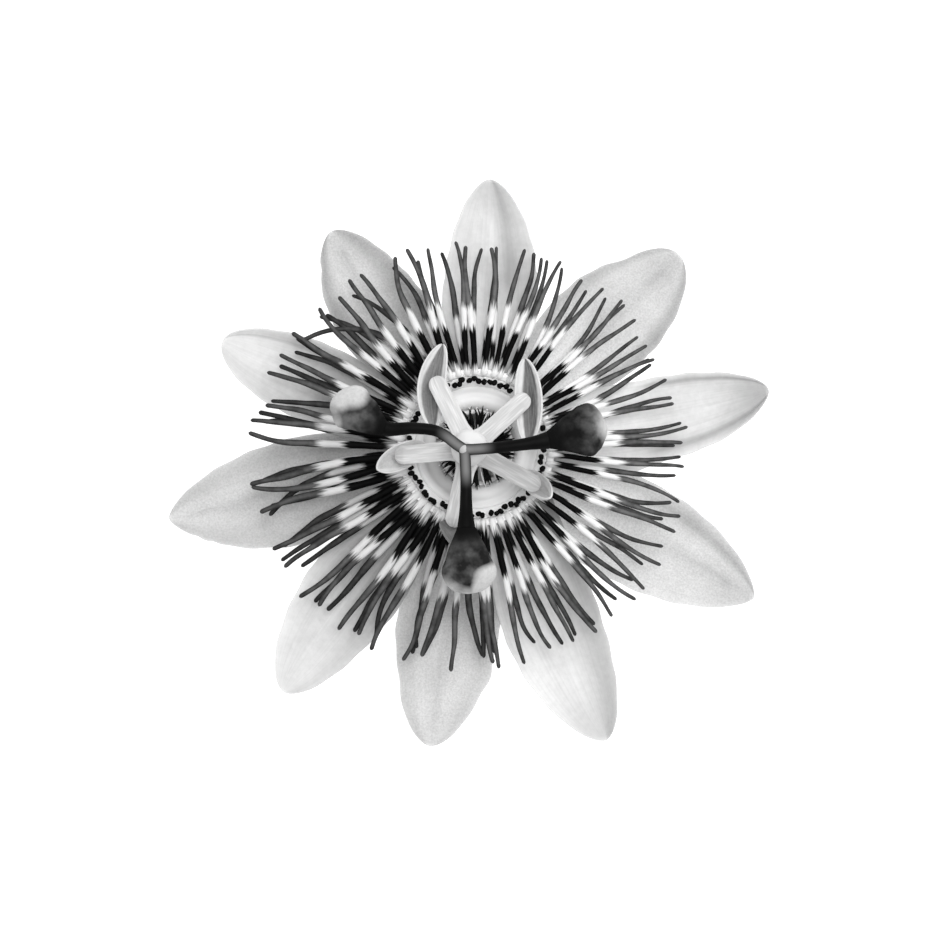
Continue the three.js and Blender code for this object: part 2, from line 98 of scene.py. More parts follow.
def piece(name, parts, node, look):
    """One closed mesh from grids of points in millimetres, each count x rows x columns x 3. Its points
    are welded and its faces turned outwards. A part is (points, uv, marks), and marks are numbers kept
    at each point by name."""
    points, faces, uvs, marks = [], [], [], {}
    offset = 0
    names = sorted({key for part in parts for key in part[2]})
    for grid, uv, kept in parts:
        count, rows, columns, _ = grid.shape
        index = np.arange(count * rows * columns).reshape(count, rows, columns) + offset
        corners = [index[:, :-1, :-1], index[:, 1:, :-1], index[:, 1:, 1:], index[:, :-1, 1:]]
        faces.append(np.stack(corners, -1).reshape(-1, 4))
        points.append(grid.reshape(-1, 3))
        uvs.append(np.broadcast_to(uv, grid.shape[:3] + (2,)).reshape(-1, 2))
        for key in names:
            value = np.broadcast_to(kept.get(key, 0.0), grid.shape[:3]).reshape(-1)
            marks.setdefault(key, []).append(value)
        offset += count * rows * columns
    mesh = bpy.data.meshes.new(name)
    mesh.from_pydata(np.concatenate(points) * MM, [], np.concatenate(faces).tolist())
    corner = np.zeros(len(mesh.loops), int)
    mesh.loops.foreach_get("vertex_index", corner)
    layer = mesh.uv_layers.new(name="surface")
    layer.data.foreach_set("uv", np.concatenate(uvs)[corner].astype(np.float32).reshape(-1))
    for key in names:
        attribute = mesh.attributes.new(key, "FLOAT", "POINT")
        attribute.data.foreach_set("value", np.concatenate(marks[key]).astype(np.float32))
    shell = bmesh.new()
    shell.from_mesh(mesh)
    bmesh.ops.remove_doubles(shell, verts=shell.verts, dist=WELD)
    bmesh.ops.recalc_face_normals(shell, faces=shell.faces)
    shell.to_mesh(mesh)
    shell.free()
    mesh.shade_smooth()
    mesh.materials.append(look)
    made = placed(name, mesh)
    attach(made, "root")
    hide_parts(node)


def step(tree, kind, inputs=None, **settings):
    """Adds one node. Each input is a number, a colour or another node's output."""
    made = tree.nodes.new("ShaderNode" + kind)
    for key, value in settings.items():
        setattr(made, key, value)
    for key, value in (inputs or {}).items():
        if isinstance(value, bpy.types.NodeSocket):
            tree.links.new(value, made.inputs[key])
        else:
            made.inputs[key].default_value = value
    return made


def grey(value):
    """A neutral grey of that brightness."""
    return (value, value, value, 1)


def blend(tree, factor, first, second, kind="MIX"):
    """A colour between two, by the factor."""
    inputs = {0: factor, 6: first, 7: second}
    return step(tree, "Mix", inputs, data_type="RGBA", blend_type=kind).outputs[2]


def math(tree, kind, first, second):
    """Two numbers added, subtracted or multiplied."""
    return step(tree, "Math", {0: first, 1: second}, operation=kind).outputs[0]


def ramp(tree, factor, stops):
    """Greys at places from 0 to 1."""
    made = step(tree, "ValToRGB", {0: factor})
    points = made.color_ramp.elements
    while len(points) < len(stops):
        points.new(0.5)
    for point, (place, value) in zip(points, stops):
        point.position = place
        point.color = grey(value)
    return made.outputs[0]


def mark(tree, name, output="Fac"):
    """A number that the mesh keeps at each point."""
    return step(tree, "Attribute", attribute_name=name).outputs[output]


# A group that every finish shares: fine cells, wide patches, and both together as a height.
tissue = bpy.data.node_groups.new("tissue", "ShaderNodeTree")
for label in ["Cells", "Patches"]:
    tissue.interface.new_socket(label, in_out="INPUT", socket_type="NodeSocketFloat")
for label in ["Cell", "Patch", "Height"]:
    tissue.interface.new_socket(label, in_out="OUTPUT", socket_type="NodeSocketFloat")
given = tissue.nodes.new("NodeGroupInput").outputs
place = step(tissue, "TexCoord").outputs["Object"]
cell_inputs = {"Vector": place, "Scale": given["Cells"], "Detail": 3.0, "Roughness": 0.6}
cell = step(tissue, "TexNoise", cell_inputs).outputs[0]
patch = step(tissue, "TexNoise", {"Vector": place, "Scale": given["Patches"], "Detail": 3.0}).outputs[0]
result = tissue.nodes.new("NodeGroupOutput").inputs
tissue.links.new(cell, result["Cell"])
tissue.links.new(patch, result["Patch"])
tissue.links.new(math(tissue, "ADD", cell, patch), result["Height"])


def finish(name, rough, cells=1500.0, patches=120.0, relief=0.00003, specular=0.3, sheen=0.0):
    """A plant finish with the shared tissue group. Returns the material, its tree, shader and group."""
    look = bpy.data.materials.new(name)
    look.use_nodes = True
    tree = look.node_tree
    shader = tree.nodes["Principled BSDF"]
    shader.inputs["Roughness"].default_value = rough
    shader.inputs["Specular IOR Level"].default_value = specular
    shader.inputs["Sheen Weight"].default_value = sheen
    group = tree.nodes.new("ShaderNodeGroup")
    group.node_tree = tissue
    group.inputs["Cells"].default_value = cells
    group.inputs["Patches"].default_value = patches
    bump = step(tree, "Bump", {"Height": group.outputs["Height"], "Strength": 1.0, "Distance": relief})
    tree.links.new(bump.outputs[0], shader.inputs["Normal"])
    return look, tree, shader, group


def two_tone(name, rough, dark, light, label, marked, **more):
    """A finish that drifts between two greys, and turns to a third where the mesh's mark is 1."""
    look, tree, shader, group = finish(name, rough, **more)
    tone = ramp(tree, group.outputs["Patch"], [(0.3, dark), (0.7, light)])
    tree.links.new(blend(tree, mark(tree, label), tone, grey(marked)), shader.inputs["Base Color"])
    return look


points, uv = turned(rounded(CUP), 96)
outside = smooth(points[..., 2], 0.8, 3) * (uv[..., 0] < 0.55)
points[..., :2] *= 1 - (RIB_DEPTH * outside * (1 - np.cos(CUP_RIBS * bearing(points))))[..., None]
look = two_tone("cup_skin", rough=0.6, dark=0.2, light=0.36, label="inner", marked=0.85, relief=0.00006)
piece("cup", [(points, uv, {"inner": smooth(uv[..., 0], 0.5, 0.62)})], "receptacle", look)

# Sepals and petals
# Five sepals of thick matte tissue lie under five thinner petals. Each grows from the cup's side,
# with fine veins along it, thin edges and its own bends. A sepal has a keel and a small horn below.
SEPAL = dict(kind="sepal", root_height=4.65, sag=0.55, root_half=4.4, keel=0.45, thick=0.62)
PETAL = dict(kind="petal", root_height=5.95, sag=0.1, root_half=3.1, keel=0.0, thick=0.5)
TEPAL_ROOT = 11.3
RISE_SHARE = 1.6
RIPPLE_HEIGHT = 0.3
RIPPLE_TURNS = 2.2
CRIMP_HEIGHT = 0.1
CRIMP_TURNS = 7.3
WAVY_EDGE = 0.012
WAVY_TURNS = 6.5
ROW_CROWDING = 1.35
GROOVE_DEPTH = 0.1
HORN_LENGTH = 2.1
HORN_DROP = 1.2
HORN_RADIUS = 0.42
HORN_SEAT = 0.55
NUDGE = 1e-3
# Root and tip are directions in degrees, reach is how far out the tip lies, half the widest half width,
# taper how far before the tip that is, and blunt how full the end is. Root half is a half width at the
# root that differs from the form's. Bow bends a blade to its left, rise lifts its tip, and cup and fold
# lift its left and right edges. Tone is its grey. Left and right are how much painted shade darkens it
# towards that edge, and how far out that starts. Ends are how much darker its root and tip are; at the
# root that is painted shade under the corona, and below zero it is painted light. A crease is a line of
# painted shade at some way across, with a width and a depth. A notch is on the right at 0 or the left at
# 1, at some way along, with a width and a depth.
TEPALS = [
    dict(form=PETAL, root=83.5, tip=87, reach=37.6, half=6.75, taper=17.5, blunt=0.6, bow=-0.5, rise=1.2,
         cup=(0.6, 0.8), fold=(0, 0), tone=0.96, left=(0.08, 0.3), right=(0.3, -0.1), ends=(-0.15, 0.26),
         creases=[(-0.4, 0.2, 0.28)]),
    dict(form=SEPAL, root=47.5, tip=43.3, reach=39.3, half=7.45, taper=15.5, blunt=0.55, bow=-0.3,
         rise=1.6, cup=(0.5, 0.7), fold=(0, 0), tone=1.0, left=(0.4, 0.6), right=(0.5, 0.55),
         ends=(-0.3, 0.24), notches=[(1, 0.81, 0.13, 0.14)]),
    dict(form=PETAL, root=11.5, tip=11.1, reach=41.6, half=5.8, taper=16, blunt=0.62, bow=-1.0, rise=2.4,
         cup=(2.4, 1.9), fold=(0.6, 0.9), tone=1.0, left=(0.05, 0.3), right=(0.05, 0.3), ends=(-0.35, 0.5),
         root_half=5.2, creases=[(0.84, 0.06, 0.38), (-0.72, 0.12, 0.44)],
         notches=[(0, 0.28, 0.14, -0.22)]),
    dict(form=SEPAL, root=-29, tip=-28.4, reach=44.2, half=7.4, taper=19, blunt=0.7, bow=0.2, rise=2.4,
         cup=(0.6, 0.9), fold=(0, 0), tone=1.0, left=(0.3, 0.42), right=(0.05, 0.4), ends=(-0.35, 0.24),
         root_half=6.8, creases=[(0.72, 0.14, 0.23)]),
    dict(form=PETAL, root=-57, tip=-66.1, reach=44.8, half=6.9, taper=19, blunt=0.62, bow=-1.2, rise=1.5,
         cup=(0.9, 0.7), fold=(0, 0), tone=1.0, left=(0.48, 0.0), right=(-0.05, 0.3), ends=(-0.08, 0.28),
         root_half=4.8),
    dict(form=SEPAL, root=-96.5, tip=-98.8, reach=42.3, half=7.3, taper=17.5, blunt=0.6, bow=-0.3,
         rise=2.0, cup=(0.7, 1.0), fold=(0, 0), tone=0.99, left=(0.26, 0.35), right=(0.3, 0.3),
         ends=(-0.04, 0.14), notches=[(0, 0.72, 0.13, 0.08), (1, 0.66, 0.07, -0.06)]),
    dict(form=PETAL, root=-132.5, tip=-128.4, reach=43.5, half=6.65, taper=18, blunt=0.57, bow=-0.7,
         rise=1.3, cup=(1.2, 0.7), fold=(0, 0), tone=0.9, left=(0.3, 0.3), right=(0.02, 0.3),
         ends=(0.42, -0.02)),
    dict(form=SEPAL, root=-168.5, tip=-167, reach=44.1, half=7.5, taper=19, blunt=0.7, bow=0.5, rise=2.2,
         cup=(0.8, 0.5), fold=(0, 0), tone=0.96, left=(0.28, 0.2), right=(0.34, 0.2), ends=(0.16, 0.12),
         notches=[(1, 0.9, 0.015, 0.06), (1, 0.84, 0.02, 0.05)]),
    dict(form=PETAL, root=155.5, tip=157.4, reach=38.4, half=5.6, taper=14, blunt=0.53, bow=0.45,
         rise=1.8, cup=(0.7, 2.0), fold=(0, 0.9), tone=0.95, left=(0.22, 0.1), right=(0.12, 0.3),
         ends=(0.36, 0.02), creases=[(-0.74, 0.045, 0.35)]),
    dict(form=SEPAL, root=119.5, tip=124, reach=36.5, half=6.6, taper=15, blunt=0.6, bow=1.0, rise=1.6,
         cup=(1.2, 0.8), fold=(0.4, 0), tone=1.0, left=(0.5, 0.4), right=(0.5, 0.15), ends=(0.1, 0.26),
         root_half=5.6, notches=[(1, 0.86, 0.035, 0.08)]),
]


def draw(index, seed):
    """A fixed number from 0 to 1 for a piece and a seed: the fraction of a large sine."""
    wave = np.sin(index * 12.9898 + seed * 78.233) * 43758.5453
    return wave - np.floor(wave)


def mix(a, b, t):
    """a at t = 0 and b at t = 1, in a straight line."""
    return a + (b - a) * t


def tepal_middle(tepal, index, u, v):
    """A tepal's middle surface. In plan: root + chord·u + left·(bow·4u(1-u) + v·half width).
    The half width grows to its widest place, then falls as (1 - past²) to the power blunt.
    The height sags, rises to the tip, and its edges lift with (v · taper)², with a slow ripple."""
    form = tepal["form"]
    root = around(TEPAL_ROOT, np.radians(tepal["root"]), 0)[:2]
    chord = around(tepal["reach"], np.radians(tepal["tip"]), 0)[:2] - root
    length = np.hypot(*chord)
    left = np.array([-chord[1], chord[0]]) / length
    widest = 1 - tepal["taper"] / length
    past = np.clip((u - widest) / (1 - widest), 0, 1)
    taper = np.maximum(1 - past * past, 1e-6) ** tepal["blunt"]
    half = mix(tepal.get("root_half", form["root_half"]), tepal["half"], smooth(u, -0.15, widest)) * taper
    side = (v < 0).astype(float)
    for on_left, where, width, depth in tepal.get("notches", []):
        dent = depth * np.exp(-((u - where) / width) ** 2) * (side != on_left)
        half = half * (1 - dent * np.abs(v) ** 3)
    wavy = WAVY_EDGE * np.sin(2 * np.pi * (WAVY_TURNS * u + draw(index, 40 + side))) * smooth(u, 0.3, 0.5)
    half = half * (1 + wavy * np.abs(v) ** 4)
    across = tepal["bow"] * 4 * u * (1 - u) + v * half
    plan = root + chord * u[..., None] + left * across[..., None]
    ripple = RIPPLE_HEIGHT * np.sin(2 * np.pi * (RIPPLE_TURNS * u + draw(index, 31 + side)))
    crimp = CRIMP_HEIGHT * np.sin(2 * np.pi * (CRIMP_TURNS * u + draw(index, 44 + side)))
    cup = np.where(side > 0, tepal["cup"][1], tepal["cup"][0])
    fold = np.where(side > 0, tepal["fold"][1], tepal["fold"][0])
    edge = (v * taper) ** 2
    height = form["root_height"] - form["sag"] * np.sin(np.pi * np.minimum(u * 1.4, 1))
    height = height + tepal["rise"] * RISE_SHARE * smooth(u, 0.35, 1.3)
    height = height + (cup * smooth(u, 0.4, 0.85) + (ripple + crimp) * smooth(u, 0.35, 0.7)) * edge
    height = height + fold * smooth(np.abs(v), 0.72, 1) * smooth(u, 0.3, 0.6) * taper
    return np.stack([plan[..., 0], plan[..., 1], height], -1)


def normals(ahead, beside):
    """Unit normals across two directions along a surface."""
    normal = np.cross(ahead, beside)
    return normal / (np.linalg.norm(normal, axis=-1, keepdims=True) + 1e-12)


def two_faces(rows, sides):
    """A grid that runs along u and all the way round it by an angle a: across is v = -cos(a), so it
    covers an upper and a lower face that meet in rounded edges."""
    u, turn = np.meshgrid(rows, np.linspace(0, 2 * np.pi, sides + 1), indexing="ij")
    return u, turn, -np.cos(turn)


def blade(tepal, index):
    """Both faces of a blade: the middle surface plus and minus the half thickness along its normal.
    Rows crowd towards the tip."""
    form = tepal["form"]
    rows = np.linspace(-0.02, 1, 96)
    u, turn, v = two_faces(np.where(rows < 1, 1 - np.abs(1 - rows) ** ROW_CROWDING, 1), 88)
    near = tepal_middle(tepal, index, np.minimum(u - NUDGE, 0.996), v)
    far = tepal_middle(tepal, index, np.minimum(u + NUDGE, 0.998), v)
    inner = np.clip(v, -0.97, 0.97)
    right = tepal_middle(tepal, index, np.minimum(u, 0.995), inner - NUDGE)
    left = tepal_middle(tepal, index, np.minimum(u, 0.995), inner + NUDGE)
    normal = normals(far - near, left - right)
    top = np.sign(np.sin(turn))
    thick = form["thick"] * (1 - 0.45 * smooth(u, 0.2, 1)) * (1 - 0.35 * np.abs(v) ** 3)
    keel = form["keel"] * np.exp(-(v / 0.14) ** 2) * (1 - smooth(u, 0.75, 0.97)) * smooth(u, -0.02, 0.1)
    groove = GROOVE_DEPTH * np.exp(-(v / 0.06) ** 2) * (1 - smooth(u, 0.7, 1))
    lift = np.where(top > 0, thick / 2 - groove, -thick / 2 - keel) * np.abs(np.sin(turn)) ** 0.4
    lift = lift * np.minimum(1, np.sqrt(np.clip((1 - u) / 0.02, 0, 1)))
    points = tepal_middle(tepal, index, u, v) + normal * lift[..., None]
    # The shade mark holds painted shade at the root, margins and creases, and painted light below zero.
    shade = tepal["tone"] * (1 - tepal["ends"][0] * (1 - smooth(u, 0.25, 0.65)))
    shade = shade * (1 - tepal["ends"][1] * smooth(u, 0.64, 0.98))
    for side, (depth, begin) in [(1, tepal["left"]), (-1, tepal["right"])]:
        shade = shade * (1 - depth * smooth(side * v, begin, 0.95))
    for across, width, depth in tepal.get("creases", []):
        shade = shade * (1 - depth * np.exp(-((v - across) / width) ** 2) * smooth(u, 0.35, 0.5))
    marks = {"back": top < 0, "own": draw(index, 50), "shade": shade}
    return points[None], surface_uv(u, 0.5 + 0.5 * v), marks


def tube(path, radius, sides, up=(0, 0, 1), flat=1.0):
    """A round rod along count paths of points, with a radius at each, closed at both ends.
    Its ring starts below, at side·cos(a) + over·sin(a) with a from -90 degrees."""
    path = np.asarray(path, float)
    ahead = np.gradient(path, axis=1)
    side = normals(ahead, np.array(up, float))
    over = normals(side, ahead) * flat
    turn = np.linspace(-np.pi / 2, 1.5 * np.pi, sides + 1)
    radius = np.broadcast_to(radius, path.shape[:2]).copy()
    radius[:, 0] = radius[:, -1] = 0
    ring = side[:, :, None] * np.cos(turn)[:, None] + over[:, :, None] * np.sin(turn)[:, None]
    points = path[:, :, None] + ring * radius[:, :, None, None]
    along = np.linspace(0, 1, path.shape[1])[:, None]
    return points, surface_uv(along, turn / (2 * np.pi) + 0.25)


def horn(tepal, index):
    """A small tapering rod under a sepal's end. It runs outwards and drops with t^1.4."""
    ends = tepal_middle(tepal, index, np.array([0.85, 0.98]), np.array([0.0, 0.0]))
    outward = (ends[1] - ends[0]) * [1, 1, 0]
    outward = outward / np.linalg.norm(outward)
    t = np.linspace(0, 1, 12)[:, None]
    path = ends[0] - [0, 0, HORN_SEAT] + outward * HORN_LENGTH * t - np.array([0, 0, HORN_DROP]) * t ** 1.4
    points, uv = tube(path[None], HORN_RADIUS * (1 - 0.8 * t[:, 0] ** 1.5), 10)
    return points, uv, {"back": 1.0, "own": draw(index, 50), "shade": 0.8}


def own_uv(tree):
    """The piece's own UV."""
    return step(tree, "UVMap", uv_map="surface").outputs[0]


def streaks(tree, place, stretch, **more):
    """Noise on a place that is stretched along and across the piece."""
    spot = step(tree, "VectorMath", {0: place, 1: stretch}, operation="MULTIPLY").outputs[0]
    return step(tree, "TexNoise", {"Vector": spot, "Scale": 1.0, **more}).outputs[0]


def times(tree, first, second):
    """One colour times another."""
    return blend(tree, 1.0, first, second, "MULTIPLY")


def tepal_finish(name, rough, dark, cells, relief, vein, grain):
    """Fine veins run along the blade and wide patches drift over it. The shade mark brings in the tepal's
    grey with its painted light and shade. The back is darker. Light passes through the thin tissue."""
    look, tree, shader, group = finish(name, rough, cells=cells, patches=130.0, relief=relief)
    shader.inputs["Subsurface Weight"].default_value = 0.6
    shader.inputs["Subsurface Radius"].default_value = (1.0, 1.0, 1.0)
    shader.inputs["Subsurface Scale"].default_value = 0.0015
    own = mark(tree, "own")
    shift = step(tree, "CombineXYZ", {"X": own, "Y": own, "Z": own}).outputs[0]
    moved = step(tree, "VectorMath", {0: own_uv(tree), 1: shift}, operation="ADD").outputs[0]
    lines = streaks(tree, moved, (2.6, 30, 9), Detail=3.0, Distortion=0.4)
    veins = ramp(tree, lines, [(0.36, vein), (0.56, 1.0)])
    grains = ramp(tree, group.outputs["Cell"], [(0.35, grain), (0.65, 1.0)])
    tone = ramp(tree, group.outputs["Patch"], [(0.3, 0.72), (0.7, dark)])
    # Painted light and shade from the shade mark multiply the tissue's grey.
    shaded = times(tree, times(tree, times(tree, tone, veins), grains), mark(tree, "shade", "Color"))
    backed = blend(tree, math(tree, "MULTIPLY", mark(tree, "back"), 0.45), shaded, grey(0.42))
    tree.links.new(backed, shader.inputs["Base Color"])
    return look


tepal_looks = {
    "petal": tepal_finish("petal_skin", rough=0.76, dark=0.62, cells=1100.0, relief=0.00003, vein=0.93,
                          grain=0.92),
    "sepal": tepal_finish("sepal_skin", rough=0.73, dark=0.63, cells=3800.0, relief=0.00006, vein=0.96,
                          grain=0.8),
}
counts = {"sepal": 0, "petal": 0}
for index, tepal in enumerate(TEPALS):
    kind = tepal["form"]["kind"]
    counts[kind] += 1
    name = f"{kind}_{counts[kind]}"
    parts = [blade(tepal, index)]
    if kind == "sepal":
        parts.append(horn(tepal, index))
    piece(f"{name}_blade", parts, name, tepal_looks[kind])

# The corona
# Two rows of soft threads stand on the cup's rim, each row on its own low ring. A thread is pale at
# its root, then black, then white, then dark grey to its round tip, and sways a little to one side.
LONG_SIDE = 232
SHORT_SIDES = [130, 270]
SHORT_BY = 1.1
SHORT_SPREAD = 28
SWEPT_SIDE = 122
SWEPT_SPREAD = 8
STOUT_AND_SHADED_SIDE = 205
STOUTNESS = 0.14
THREAD_ROOT = 10.6
THREAD_GIRTH = 0.46
BAND_SHIFT = 0.35
CLUMP_LEAN = 1.3
CLUMP_TURNS = 0.31
HOOK = 5
RING_BUMPS = 112
RING_BUMP = 0.05
# Reach is how far out the tips lie, swing and ragged how much that changes round the ring and from thread
# to thread. Sway, sweep, lean and pairing turn threads aside. Rise, curl and lift raise them. Inner is
# where a thread starts before its root, and shade is the row's extra painted shade, most on the lower
# left. The ring is a profile. The bands are places along a thread, with the greys of its sides and of
# its top there; the lighter greys on top are painted light.
LOWER = dict(
    name="corona_lower", skin="lower_thread", count=56, seed=3, offset=0.5, height=7.35, reach=29.2,
    swing=1.4, ragged=1.0, sway=5.5, sweep=20, lean=1.6, pairing=0.38, rise=0.5, curl=1.0, lift=0.15,
    inner=0.0, shade=0.1, ring=[(10.15, 6.9), (11.0, 6.9), (11.0, 7.75), (10.15, 7.75)],
    bands=[0.0, 0.06, 0.11, 0.22, 0.27, 0.46, 0.51, 1.0],
    sides=[0.98, 0.95, 0.006, 0.006, 0.95, 0.95, 0.04, 0.025],
    top=[0.98, 0.95, 0.01, 0.01, 0.98, 0.98, 0.14, 0.075])
UPPER = dict(
    name="corona_upper", skin="upper_thread", count=56, seed=7, offset=0, height=8.6, reach=30.0,
    swing=1.8, ragged=0.8, sway=3.4, sweep=0, lean=2.0, pairing=0, rise=0.9, curl=1.6, lift=0.25,
    inner=-0.045, shade=0,
    ring=[(9.98, 7.9), (11.0, 7.9), (11.0, 8.5), (10.7, 8.55), (10.2, 8.4), (9.98, 8.2)],
    bands=[0.0, 0.03, 0.09, 0.36, 0.4, 0.53, 0.58, 1.0],
    sides=[0.98, 0.96, 0.002, 0.002, 0.9, 0.9, 0.05, 0.036],
    top=[0.98, 0.96, 0.003, 0.003, 0.9, 0.9, 0.16, 0.09])


def two_way(index, seed):
    """A fixed number from -1 to 1 for a piece and a seed."""
    return 2 * draw(index, seed) - 1


def thread_paths(row, t):
    """Radius runs evenly from root to tip. Tips reach out furthest at the long side, and less about the
    short sides. The angle bends with t² and a slow wave, and some tips hook over with t⁶. Threads lean
    together in clumps, and in twos with sin(πt^1.3). On the left they are looser. On the right a lower
    one starts close to an upper one. The height rises with t and t²."""
    i = np.arange(row["count"])[:, None]
    gap = 360 / row["count"]

    def own(seed):
        """A fixed number from -1 to 1 for each thread of the row."""
        return two_way(i, row["seed"] + seed)

    lit = 0.5 + 0.5 * np.cos(np.radians(i * gap + 10))
    start = (i + row["offset"] - row["pairing"] * lit + 0.16 * own(0)) * gap
    loose = 0.75 - 0.25 * np.cos(np.radians(start))
    reach = row["reach"] + row["swing"] * np.cos(np.radians(start - LONG_SIDE)) + row["ragged"] * own(1)
    reach = reach - SHORT_BY * sum(np.exp(-((start - side) / SHORT_SPREAD) ** 2) for side in SHORT_SIDES)
    sway = row["sway"] * loose * own(2) * np.abs(own(2))
    sway = sway + row["sweep"] * np.exp(-((start - SWEPT_SIDE) / SWEPT_SPREAD) ** 2)
    clump = CLUMP_LEAN * np.sin(2 * np.pi * (CLUMP_TURNS * i + draw(1, row["seed"])))
    hook = HOOK * loose * own(5) * np.maximum(0, own(6))
    wave = 1.4 * own(3) * np.sin(2 * np.pi * t)
    wave = wave + 0.25 * own(11) * np.sin(6 * np.pi * (t + draw(i, 12)))
    lean = row["lean"] * draw(i // 2, row["seed"] + 20) * (1 - 2 * (i % 2))
    angle = start + sway * t ** 2 + clump * t + hook * t ** 6 + wave * loose * t
    angle = angle + lean * np.sin(np.pi * np.maximum(t, 0) ** 1.3)
    angle = angle + row["pairing"] * lit * gap * t * t
    height = row["height"] + (row["rise"] + row["lift"] * own(4)) * t + row["curl"] * t * t
    height = height - 0.35 * np.clip(-t / 0.045, 0, 1)
    return around(mix(THREAD_ROOT, reach, t), np.radians(angle), height)


def corona_row(row):
    """A ring with its threads. A thread is broad at its root, narrows past the middle and rounds off.
    It is stouter on the lower left, where painted shade darkens it, and painted light brightens it a
    little on the upper right. On the right its bands sit further in."""
    t = np.concatenate([np.linspace(row["inner"], 0.97, 32), [0.98, 0.988, 0.994, 0.998, 1.0]])[None, :]
    i = np.arange(row["count"])[:, None]
    turn = np.radians((i + row["offset"]) * 360 / row["count"])
    stout_and_shaded = np.cos(turn - np.radians(STOUT_AND_SHADED_SIDE))
    swell = (0.8 + 0.2 * smooth(t, 0.05, 0.35)) * (1 - 0.4 * smooth(t, 0.5, 1.0)) * (1 + STOUTNESS * stout_and_shaded)
    swell = swell + 0.3 * (1 - smooth(t, -0.03, 0.14))
    lumps = 1 + 0.05 * np.sin(2 * np.pi * (5 * t + draw(i, row["seed"] + 8)))
    lumps = lumps + 0.16 * (draw(i, row["seed"] + 9) - 0.5)
    tip = np.sqrt(np.clip((1 - t) / 0.014, 0, 1))
    points, uv = tube(thread_paths(row, t), THREAD_GIRTH * swell * lumps * tip, 12)
    uv = surface_uv(t[0][:, None], uv[0, ..., 1])
    own = draw(i, row["seed"] + 10) + BAND_SHIFT * np.maximum(0, np.cos(turn))
    # Painted light: the top of each thread takes the lighter top greys.
    top = np.clip(-np.cos(2 * np.pi * uv[..., 1]), 0, 1) ** 2
    # Painted shade, most on the lower left and on the lower row, less at the root.
    dim = 0.09 + row["shade"] + (0.15 + row["shade"]) * stout_and_shaded
    dim = dim * (0.4 + 0.6 * smooth(t, 0.08, 0.25) + 0.35 * smooth(t, 0.5, 0.6))
    ring, ring_uv = turned(rounded(row["ring"], closed=True), 336)
    upper = ring[..., 2] > row["ring"][0][1] + 0.1
    ring[..., 2] += RING_BUMP * np.cos(RING_BUMPS * bearing(ring)) * upper
    return [(points, uv, {"own": own[..., None], "top": top, "dim": dim[..., None]}),
            (ring, ring_uv * [0.0, 1.0], {"own": 0.5})]


def banded(row):
    """Bands along each thread, one set at its sides and one on top; the lighter greys on top are painted
    light. Their ends run in streaks, and shift from thread to thread. Mottles darken all but the white,
    and the painted shade mark darkens the lower left."""
    look, tree, shader, group = finish(row["skin"], 0.6, cells=2400.0, patches=700.0, relief=0.00004,
                                       specular=0.06)
    place = step(tree, "SeparateXYZ", {0: own_uv(tree)}).outputs
    own = mark(tree, "own")
    spot = step(tree, "CombineXYZ", {"X": place[0], "Y": place[1], "Z": own}).outputs[0]
    streaked = math(tree, "SUBTRACT", streaks(tree, spot, (3.0, 11.0, 60.0), Detail=2.0), 0.5)
    drift = math(tree, "SUBTRACT", own, 0.5)
    shift = math(tree, "ADD", math(tree, "MULTIPLY", drift, 0.06), math(tree, "MULTIPLY", streaked, 0.16))
    along = math(tree, "ADD", place[0], shift)
    sides = ramp(tree, along, list(zip(row["bands"], row["sides"])))
    top = ramp(tree, along, list(zip(row["bands"], row["top"])))
    bands = blend(tree, mark(tree, "top"), sides, top)
    mottle = ramp(tree, group.outputs["Patch"], [(0.36, 0.55), (0.6, 1.15)])
    mottled = blend(tree, bands, times(tree, bands, mottle), bands)
    shaded = times(tree, mottled, math(tree, "SUBTRACT", 1.0, mark(tree, "dim")))
    tree.links.new(shaded, shader.inputs["Base Color"])
    return look


for row in [LOWER, UPPER]:
    piece(row["name"] + "_threads", corona_row(row), row["name"], banded(row))

# The beads
# Short pale threads inside the corona, each with a lumpy black head. They stand in loose clumps on
# a low white collar that closes the gap to the corona.
BEADS = 76
BEAD_CIRCLE = 9.4
BEAD_HEIGHT = 9.5
STALK_FOOT = 7.5
STALK_RADIUS = 0.13
COLLAR = [(8.6, 6.95), (9.98, 6.9), (9.98, 8.3), (9.6, 7.95), (9.2, 7.6), (8.6, 7.42)]


def balls(centres, size, rows=8, sides=10, lumps=0.0, seed=0.0):
    """Round heads: points on a sphere, size · (1 + lumps · a sum of sines) from each centre."""
    lat = np.linspace(-np.pi / 2, np.pi / 2, rows + 1)[:, None]
    lon = np.linspace(0, 2 * np.pi, sides + 1)[None, :]
    out = around(np.cos(lat), lon, np.sin(lat))
    wave = np.sin(3.1 * out[..., 0] + 1.7 * seed) + np.sin(4.3 * out[..., 1] + seed)
    wave = wave + np.sin(3.7 * out[..., 2])
    size = np.asarray(size, float).reshape(-1, 1, 1, 1)
    points = np.asarray(centres)[:, None, None, :] + size * out * (1 + lumps * wave)[..., None]
    return points, surface_uv(0.5 + lat / np.pi, lon / (2 * np.pi))


